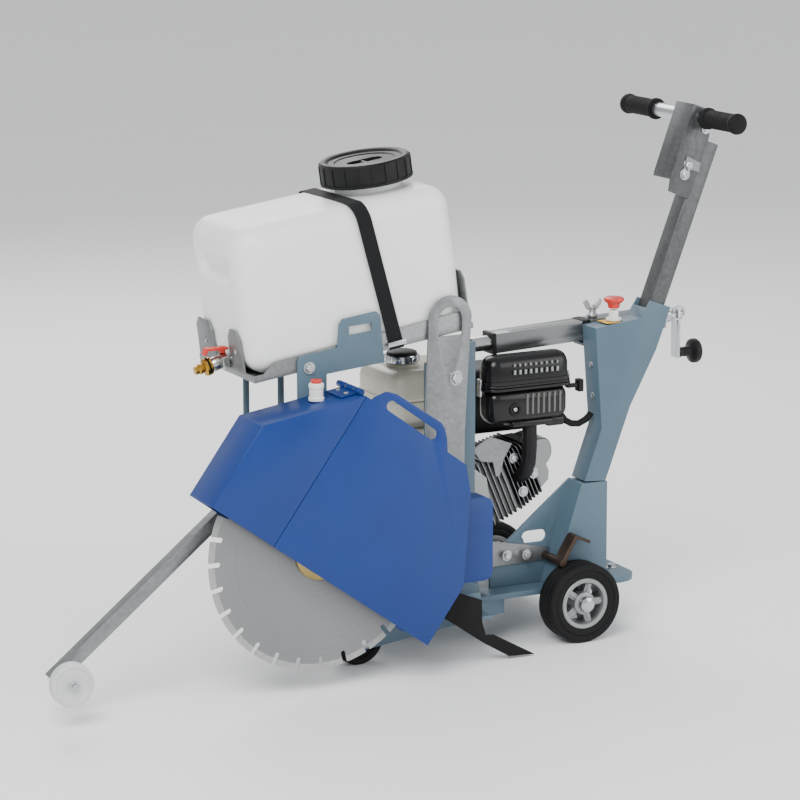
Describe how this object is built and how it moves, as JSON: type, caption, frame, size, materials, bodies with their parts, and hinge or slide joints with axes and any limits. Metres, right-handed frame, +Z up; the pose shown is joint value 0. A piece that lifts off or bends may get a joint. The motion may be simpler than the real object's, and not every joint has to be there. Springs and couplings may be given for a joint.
{
  "type": "concrete saw",
  "caption": "Walk-behind concrete saw: engine, guarded diamond blade and water tank on a deck that a crank spindle tilts on a wheeled chassis with a raised handle.",
  "frame": {"origin": "on the ground, in the middle of the machine's footprint", "axes": "+X to the operator's end, +Y away from the blade, +Z up"},
  "size_m": [1.3053, 0.482, 0.928],
  "materials": {
    "grey_blue_enamel": "satin enamel",
    "blue_enamel": "gloss enamel",
    "galvanised_steel": "galvanised, dull",
    "bright_steel": "bright machined",
    "cast_aluminium": "as cast",
    "brass": "bare brass",
    "yellow_zinc": "yellow zinc plated",
    "black_metal": "black enamel",
    "black_plastic": "moulded, matt",
    "webbing": "woven belt",
    "rubber": "matt",
    "tyre": "matt",
    "white_plastic": "natural polyethylene",
    "red_plastic": "moulded",
    "cream_enamel": "gloss enamel",
    "browned_steel": "browned",
    "diamond_blade": "ground steel"
  },
  "bodies": {
    "chassis": {"base_frame": "grey_blue_enamel", "column_foot": "grey_blue_enamel", "column": "grey_blue_enamel", "rear_axle": "galvanised_steel", "front_axle": "galvanised_steel", "pivot_pin": "bright_steel", "splash_flap": "rubber", "catch_plate": "galvanised_steel", "stop_switch_base": "white_plastic"},
    "rear_wheel_near": {"rear_tyre_near": "tyre", "rear_rim_near": "cast_aluminium"},
    "rear_wheel_far": {"rear_tyre_far": "tyre", "rear_rim_far": "cast_aluminium"},
    "front_wheel_near": {"front_wheel_near": "rubber"},
    "front_wheel_far": {"front_wheel_far": "rubber"},
    "handle": {"handle_tube": "galvanised_steel", "handle_head": "galvanised_steel", "handle_bar": "bright_steel", "grip_near": "rubber", "grip_far": "rubber"},
    "handle_lock_pin": {"handle_lock_pin": "bright_steel"},
    "stop_button": {"stop_button": "red_plastic"},
    "lock_pedal": {"lock_pedal": "browned_steel"},
    "spindle": {"spindle_tube": "galvanised_steel"},
    "push_rod": {"push_rod": "bright_steel"},
    "crank": {"crank": "bright_steel"},
    "crank_knob": {"crank_knob": "black_plastic"},
    "clamp_screw": {"clamp_screw": "bright_steel"},
    "deck": {"deck_frame": "grey_blue_enamel", "lifting_plate": "galvanised_steel", "engine_block": "cast_aluminium", "cylinder_head": "cast_aluminium", "fan_housing": "black_plastic", "air_cleaner_base": "black_plastic", "air_cleaner_lid": "black_plastic", "intake_elbow": "black_metal", "muffler": "black_metal", "breather_hose": "rubber", "fuel_tank": "cream_enamel", "blade_guard": "blue_enamel", "belt_guard": "blue_enamel", "tank_bracket": "grey_blue_enamel", "tank_tray": "galvanised_steel", "water_tank": "white_plastic", "tank_strap": "webbing", "tap_body": "brass", "drive_belt": "rubber"},
    "arbor": {"blade": "diamond_blade", "arbor_shaft": "bright_steel", "flange_inner": "yellow_zinc", "flange_outer": "yellow_zinc"},
    "crankshaft": {"engine_pulley": "bright_steel"},
    "guard_flap": {"guard_flap": "blue_enamel"},
    "pointer": {"pointer_arm": "galvanised_steel"},
    "pointer_roller": {"pointer_roller": "white_plastic"},
    "tank_cap": {"tank_cap": "black_plastic"},
    "fuel_cap": {"fuel_cap": "black_metal"},
    "tap_lever": {"tap_lever": "red_plastic"}
  },
  "joints": [
    {"name": "rear_wheel_near_spin", "type": "hinge", "parent": "chassis", "child": "rear_wheel_near", "pos_m": [0.35695, -0.127, 0.071], "axis": [0, 1, 0], "continuous": true},
    {"name": "rear_wheel_far_spin", "type": "hinge", "parent": "chassis", "child": "rear_wheel_far", "pos_m": [0.35695, 0.205, 0.071], "axis": [0, 1, 0], "continuous": true},
    {"name": "front_wheel_near_spin", "type": "hinge", "parent": "chassis", "child": "front_wheel_near", "pos_m": [-0.05165, -0.073, 0.045], "axis": [0, 1, 0], "continuous": true},
    {"name": "front_wheel_far_spin", "type": "hinge", "parent": "chassis", "child": "front_wheel_far", "pos_m": [-0.05165, 0.127, 0.045], "axis": [0, 1, 0], "continuous": true},
    {"name": "handle_slide", "type": "slide", "parent": "chassis", "child": "handle", "axis": [0.3551, 0, 0.9348], "range_m": [0, 0.08]},
    {"name": "lock_pin_pull", "type": "slide", "parent": "chassis", "child": "handle_lock_pin", "axis": [0.9348, 0, -0.3551], "range_m": [0, 0.0065], "stiffness_N_per_m": 1500, "springref_m": -0.003},
    {"name": "stop_button_press", "type": "slide", "parent": "chassis", "child": "stop_button", "axis": [0, 0, -1], "range_m": [0, 0.004], "stiffness_N_per_m": 800, "springref_m": -0.002},
    {"name": "lock_pedal_press", "type": "hinge", "parent": "chassis", "child": "lock_pedal", "pos_m": [0.32435, -0.093, 0.143], "axis": [0, 1, 0], "range_deg": [0, 12], "stiffness_Nm_per_rad": 4, "springref_deg": -6.88},
    {"name": "deck_tilt", "type": "hinge", "parent": "chassis", "child": "deck", "pos_m": [0.10335, 0.024, 0.1], "axis": [0, -1, 0], "range_deg": [0, 35]},
    {"name": "spindle_swing", "type": "hinge", "parent": "chassis", "child": "spindle", "pos_m": [0.42835, -0.033, 0.537], "axis": [0, -1, 0], "range_deg": [0, 3]},
    {"name": "spindle_extend", "type": "slide", "parent": "spindle", "child": "push_rod", "axis": [-0.9989, 0, -0.0459], "range_m": [0, 0.257]},
    {"name": "crank_turn", "type": "hinge", "parent": "spindle", "child": "crank", "pos_m": [0.57719, -0.033, 0.54384], "axis": [-0.9989, 0, -0.0459], "range_deg": [0, 9000]},
    {"name": "crank_knob_spin", "type": "hinge", "parent": "crank", "child": "crank_knob", "pos_m": [0.60865, -0.033, 0.47584], "axis": [1, 0, 0], "continuous": true},
    {"name": "clamp_screw_turn", "type": "hinge", "parent": "spindle", "child": "clamp_screw", "pos_m": [0.43152, -0.033, 0.55516], "axis": [0, 0, 1], "range_deg": [0, 180]},
    {"name": "arbor_spin", "type": "hinge", "parent": "deck", "child": "arbor", "pos_m": [-0.17765, -0.193, 0.241], "axis": [0, 1, 0], "continuous": true},
    {"name": "crankshaft_spin", "type": "hinge", "parent": "deck", "child": "crankshaft", "pos_m": [0.10735, -0.076, 0.23], "axis": [0, 1, 0], "continuous": true},
    {"name": "guard_flap_swing", "type": "hinge", "parent": "deck", "child": "guard_flap", "pos_m": [-0.11484, -0.193, 0.50438], "axis": [0, 1, 0], "range_deg": [0, 100]},
    {"name": "pointer_swing", "type": "hinge", "parent": "deck", "child": "pointer", "pos_m": [-0.24165, -0.193, 0.379], "axis": [0, 1, 0], "range_deg": [0, 65]},
    {"name": "pointer_roller_spin", "type": "hinge", "parent": "pointer", "child": "pointer_roller", "pos_m": [-0.61665, -0.193, 0.077], "axis": [0, 1, 0], "continuous": true},
    {"name": "tank_cap_turn", "type": "hinge", "parent": "deck", "child": "tank_cap", "pos_m": [-0.0084, -0.033, 0.8121], "axis": [-0.1409, 0, 0.99], "range_deg": [0, 360]},
    {"name": "fuel_cap_turn", "type": "hinge", "parent": "deck", "child": "fuel_cap", "pos_m": [0.07835, 0.012, 0.5], "axis": [0, 0, 1], "range_deg": [0, 90]},
    {"name": "tap_lever_turn", "type": "hinge", "parent": "deck", "child": "tap_lever", "pos_m": [-0.28291, -0.043, 0.55835], "axis": [0, 0, -1], "range_deg": [0, 90]}
  ],
  "couplings": [
    {"joint": "spindle_swing", "follows": "deck_tilt", "ratio": 0.0703},
    {"joint": "spindle_extend", "follows": "deck_tilt", "m_per_rad": 0.418},
    {"joint": "crank_turn", "follows": "deck_tilt", "ratio": 257},
    {"joint": "crankshaft_spin", "follows": "arbor_spin", "ratio": 1.4286}
  ]
}
